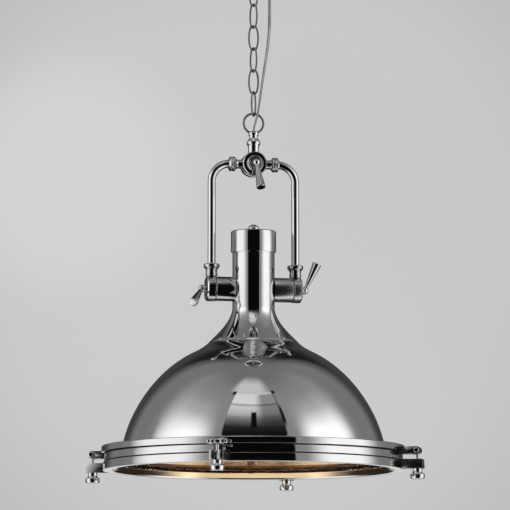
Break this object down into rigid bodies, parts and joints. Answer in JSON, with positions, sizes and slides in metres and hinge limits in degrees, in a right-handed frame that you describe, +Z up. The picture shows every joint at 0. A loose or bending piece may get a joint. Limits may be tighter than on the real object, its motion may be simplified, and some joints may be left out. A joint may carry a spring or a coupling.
{
  "type": "pendant light",
  "caption": "Chrome dome pendant on an oval-link chain, with a bent-tube bail, locking levers, a tilting head and a clamped flat glass lens",
  "frame": {"origin": "centre of the ceiling bracket's top face, which rests on the ceiling; the light hangs down from it", "axes": "+Z up out of the ceiling face, +X toward the right end block of the bail, -Y toward the side that carries the hub lever"},
  "size_m": [0.4282, 0.4282, 0.7428],
  "materials": {
    "canopy_chrome": "polished chrome plate",
    "chrome_fittings": "polished chrome plate",
    "chain_chrome": "polished chrome plate",
    "chrome_casting": "polished chrome plate",
    "dome_chrome": "polished chrome outside, warm gold lacquer inside",
    "rim_chrome": "polished chrome plate",
    "zinc_plate": "bright zinc plate",
    "black_rubber": "matt black rubber",
    "lens_glass": "clear flat glass",
    "opal_glass": "opal white glass",
    "porcelain": "glazed white porcelain",
    "brass_cap": "pressed brass",
    "white_plastic": "moulded nylon",
    "clear_cord": "clear sheath over silvery wires"
  },
  "bodies": {
    "ceiling": {"ceiling_bracket": "zinc_plate", "canopy": "canopy_chrome", "hanging_loop": "chrome_fittings", "cord_bush": "chrome_fittings", "terminal_block": "white_plastic", "cord": "clear_cord"},
    "link_1": {"chain_link_1": "chain_chrome"},
    "link_2": {"chain_link_2": "chain_chrome"},
    "link_3": {"chain_link_3": "chain_chrome"},
    "link_4": {"chain_link_4": "chain_chrome"},
    "link_5": {"chain_link_5": "chain_chrome"},
    "link_6": {"chain_link_6": "chain_chrome"},
    "hanger": {"ring_and_stem": "chrome_fittings", "hub_front": "chrome_fittings"},
    "bail": {"hub_rear": "chrome_fittings", "bail_tube_left": "chrome_fittings", "bail_tube_right": "chrome_fittings", "end_block_left": "chrome_fittings", "end_block_right": "chrome_fittings"},
    "hub_clamp": {"hub_lever": "chrome_fittings"},
    "left_clamp": {"side_lever_left": "chrome_fittings"},
    "right_clamp": {"side_lever_right": "chrome_fittings"},
    "head": {"column": "chrome_casting", "column_cap": "chrome_casting", "tie_rod": "zinc_plate", "cap_nut": "chrome_fittings", "dome": "dome_chrome", "rim_band": "rim_chrome", "gasket": "black_rubber", "lens_ring": "rim_chrome", "lens_glass": "lens_glass", "lens_retainer": "zinc_plate", "lampholder": "porcelain", "bulb_glass": "opal_glass", "bulb_cap": "brass_cap", "pivot_pin_1": "chrome_fittings", "pivot_pin_2": "chrome_fittings", "pivot_pin_3": "chrome_fittings", "pivot_pin_4": "chrome_fittings"},
    "bolt_1": {"eye_bolt_1": "chrome_fittings"},
    "nut_1": {"thumb_nut_1": "chrome_fittings"},
    "bolt_2": {"eye_bolt_2": "chrome_fittings"},
    "nut_2": {"thumb_nut_2": "chrome_fittings"},
    "bolt_3": {"eye_bolt_3": "chrome_fittings"},
    "nut_3": {"thumb_nut_3": "chrome_fittings"},
    "bolt_4": {"eye_bolt_4": "chrome_fittings"},
    "nut_4": {"thumb_nut_4": "chrome_fittings"}
  },
  "joints": [
    {"name": "chain_hinge_1", "type": "hinge", "parent": "ceiling", "child": "link_1", "pos_m": [0, 0, -0.07255], "axis": [0.342, -0.9397, 0], "range_deg": [-20, 20], "deforming": ["cord"]},
    {"name": "chain_hinge_2", "type": "hinge", "parent": "link_1", "child": "link_2", "pos_m": [0, 0, -0.10215], "axis": [-0.9397, -0.342, 0], "range_deg": [-20, 20], "deforming": ["cord"]},
    {"name": "chain_hinge_3", "type": "hinge", "parent": "link_2", "child": "link_3", "pos_m": [0, 0, -0.13215], "axis": [-0.5736, 0.8192, 0], "range_deg": [-20, 20], "deforming": ["cord"]},
    {"name": "chain_hinge_4", "type": "hinge", "parent": "link_3", "child": "link_4", "pos_m": [0, 0, -0.16215], "axis": [1, 0, 0], "range_deg": [-20, 20], "deforming": ["cord"]},
    {"name": "chain_hinge_5", "type": "hinge", "parent": "link_4", "child": "link_5", "pos_m": [0, 0, -0.19215], "axis": [-0.5, 0.866, 0], "range_deg": [-20, 20], "deforming": ["cord"]},
    {"name": "chain_hinge_6", "type": "hinge", "parent": "link_5", "child": "link_6", "pos_m": [0, 0, -0.22215], "axis": [1, 0, 0], "range_deg": [-20, 20], "deforming": ["cord"]},
    {"name": "chain_hinge_7", "type": "hinge", "parent": "link_6", "child": "hanger", "pos_m": [0, 0, -0.25215], "axis": [-0.5736, -0.8192, 0], "range_deg": [-20, 20], "deforming": ["cord"]},
    {"name": "hub_swivel", "type": "hinge", "parent": "hanger", "child": "bail", "pos_m": [0, 0, -0.3183], "axis": [0, -1, 0], "range_deg": [-40, 40]},
    {"name": "hub_lever_turn", "type": "hinge", "parent": "hanger", "child": "hub_clamp", "pos_m": [0, -0.016, -0.3183], "axis": [0, -1, 0], "range_deg": [0, 120]},
    {"name": "head_tilt", "type": "hinge", "parent": "bail", "child": "head", "pos_m": [0, 0, -0.4873], "axis": [1, 0, 0], "range_deg": [-90, 90]},
    {"name": "left_lever_turn", "type": "hinge", "parent": "bail", "child": "left_clamp", "pos_m": [-0.0646, 0, -0.4873], "axis": [-1, 0, 0], "range_deg": [0, 120]},
    {"name": "right_lever_turn", "type": "hinge", "parent": "bail", "child": "right_clamp", "pos_m": [0.0646, 0, -0.4873], "axis": [1, 0, 0], "range_deg": [0, 120]},
    {"name": "bolt_swing_1", "type": "hinge", "parent": "head", "child": "bolt_1", "pos_m": [0.20297, -0.08616, -0.7055], "axis": [-0.3907, -0.9205, 0], "range_deg": [0, 100]},
    {"name": "nut_slide_1", "type": "slide", "parent": "bolt_1", "child": "nut_1", "axis": [0, 0, -1], "range_m": [0, 0.009]},
    {"name": "bolt_swing_2", "type": "hinge", "parent": "head", "child": "bolt_2", "pos_m": [0.08616, 0.20297, -0.7055], "axis": [0.9205, -0.3907, 0], "range_deg": [0, 100]},
    {"name": "nut_slide_2", "type": "slide", "parent": "bolt_2", "child": "nut_2", "axis": [0, 0, -1], "range_m": [0, 0.009]},
    {"name": "bolt_swing_3", "type": "hinge", "parent": "head", "child": "bolt_3", "pos_m": [-0.20297, 0.08616, -0.7055], "axis": [0.3907, 0.9205, 0], "range_deg": [0, 100]},
    {"name": "nut_slide_3", "type": "slide", "parent": "bolt_3", "child": "nut_3", "axis": [0, 0, -1], "range_m": [0, 0.009]},
    {"name": "bolt_swing_4", "type": "hinge", "parent": "head", "child": "bolt_4", "pos_m": [-0.08616, -0.20297, -0.7055], "axis": [-0.9205, 0.3907, 0], "range_deg": [0, 100]},
    {"name": "nut_slide_4", "type": "slide", "parent": "bolt_4", "child": "nut_4", "axis": [0, 0, -1], "range_m": [0, 0.009]}
  ],
  "couplings": [
    {"joint": "nut_slide_1", "follows": "bolt_swing_1", "m_per_rad": 0.005},
    {"joint": "nut_slide_2", "follows": "bolt_swing_2", "m_per_rad": 0.005},
    {"joint": "nut_slide_3", "follows": "bolt_swing_3", "m_per_rad": 0.005},
    {"joint": "nut_slide_4", "follows": "bolt_swing_4", "m_per_rad": 0.005}
  ]
}
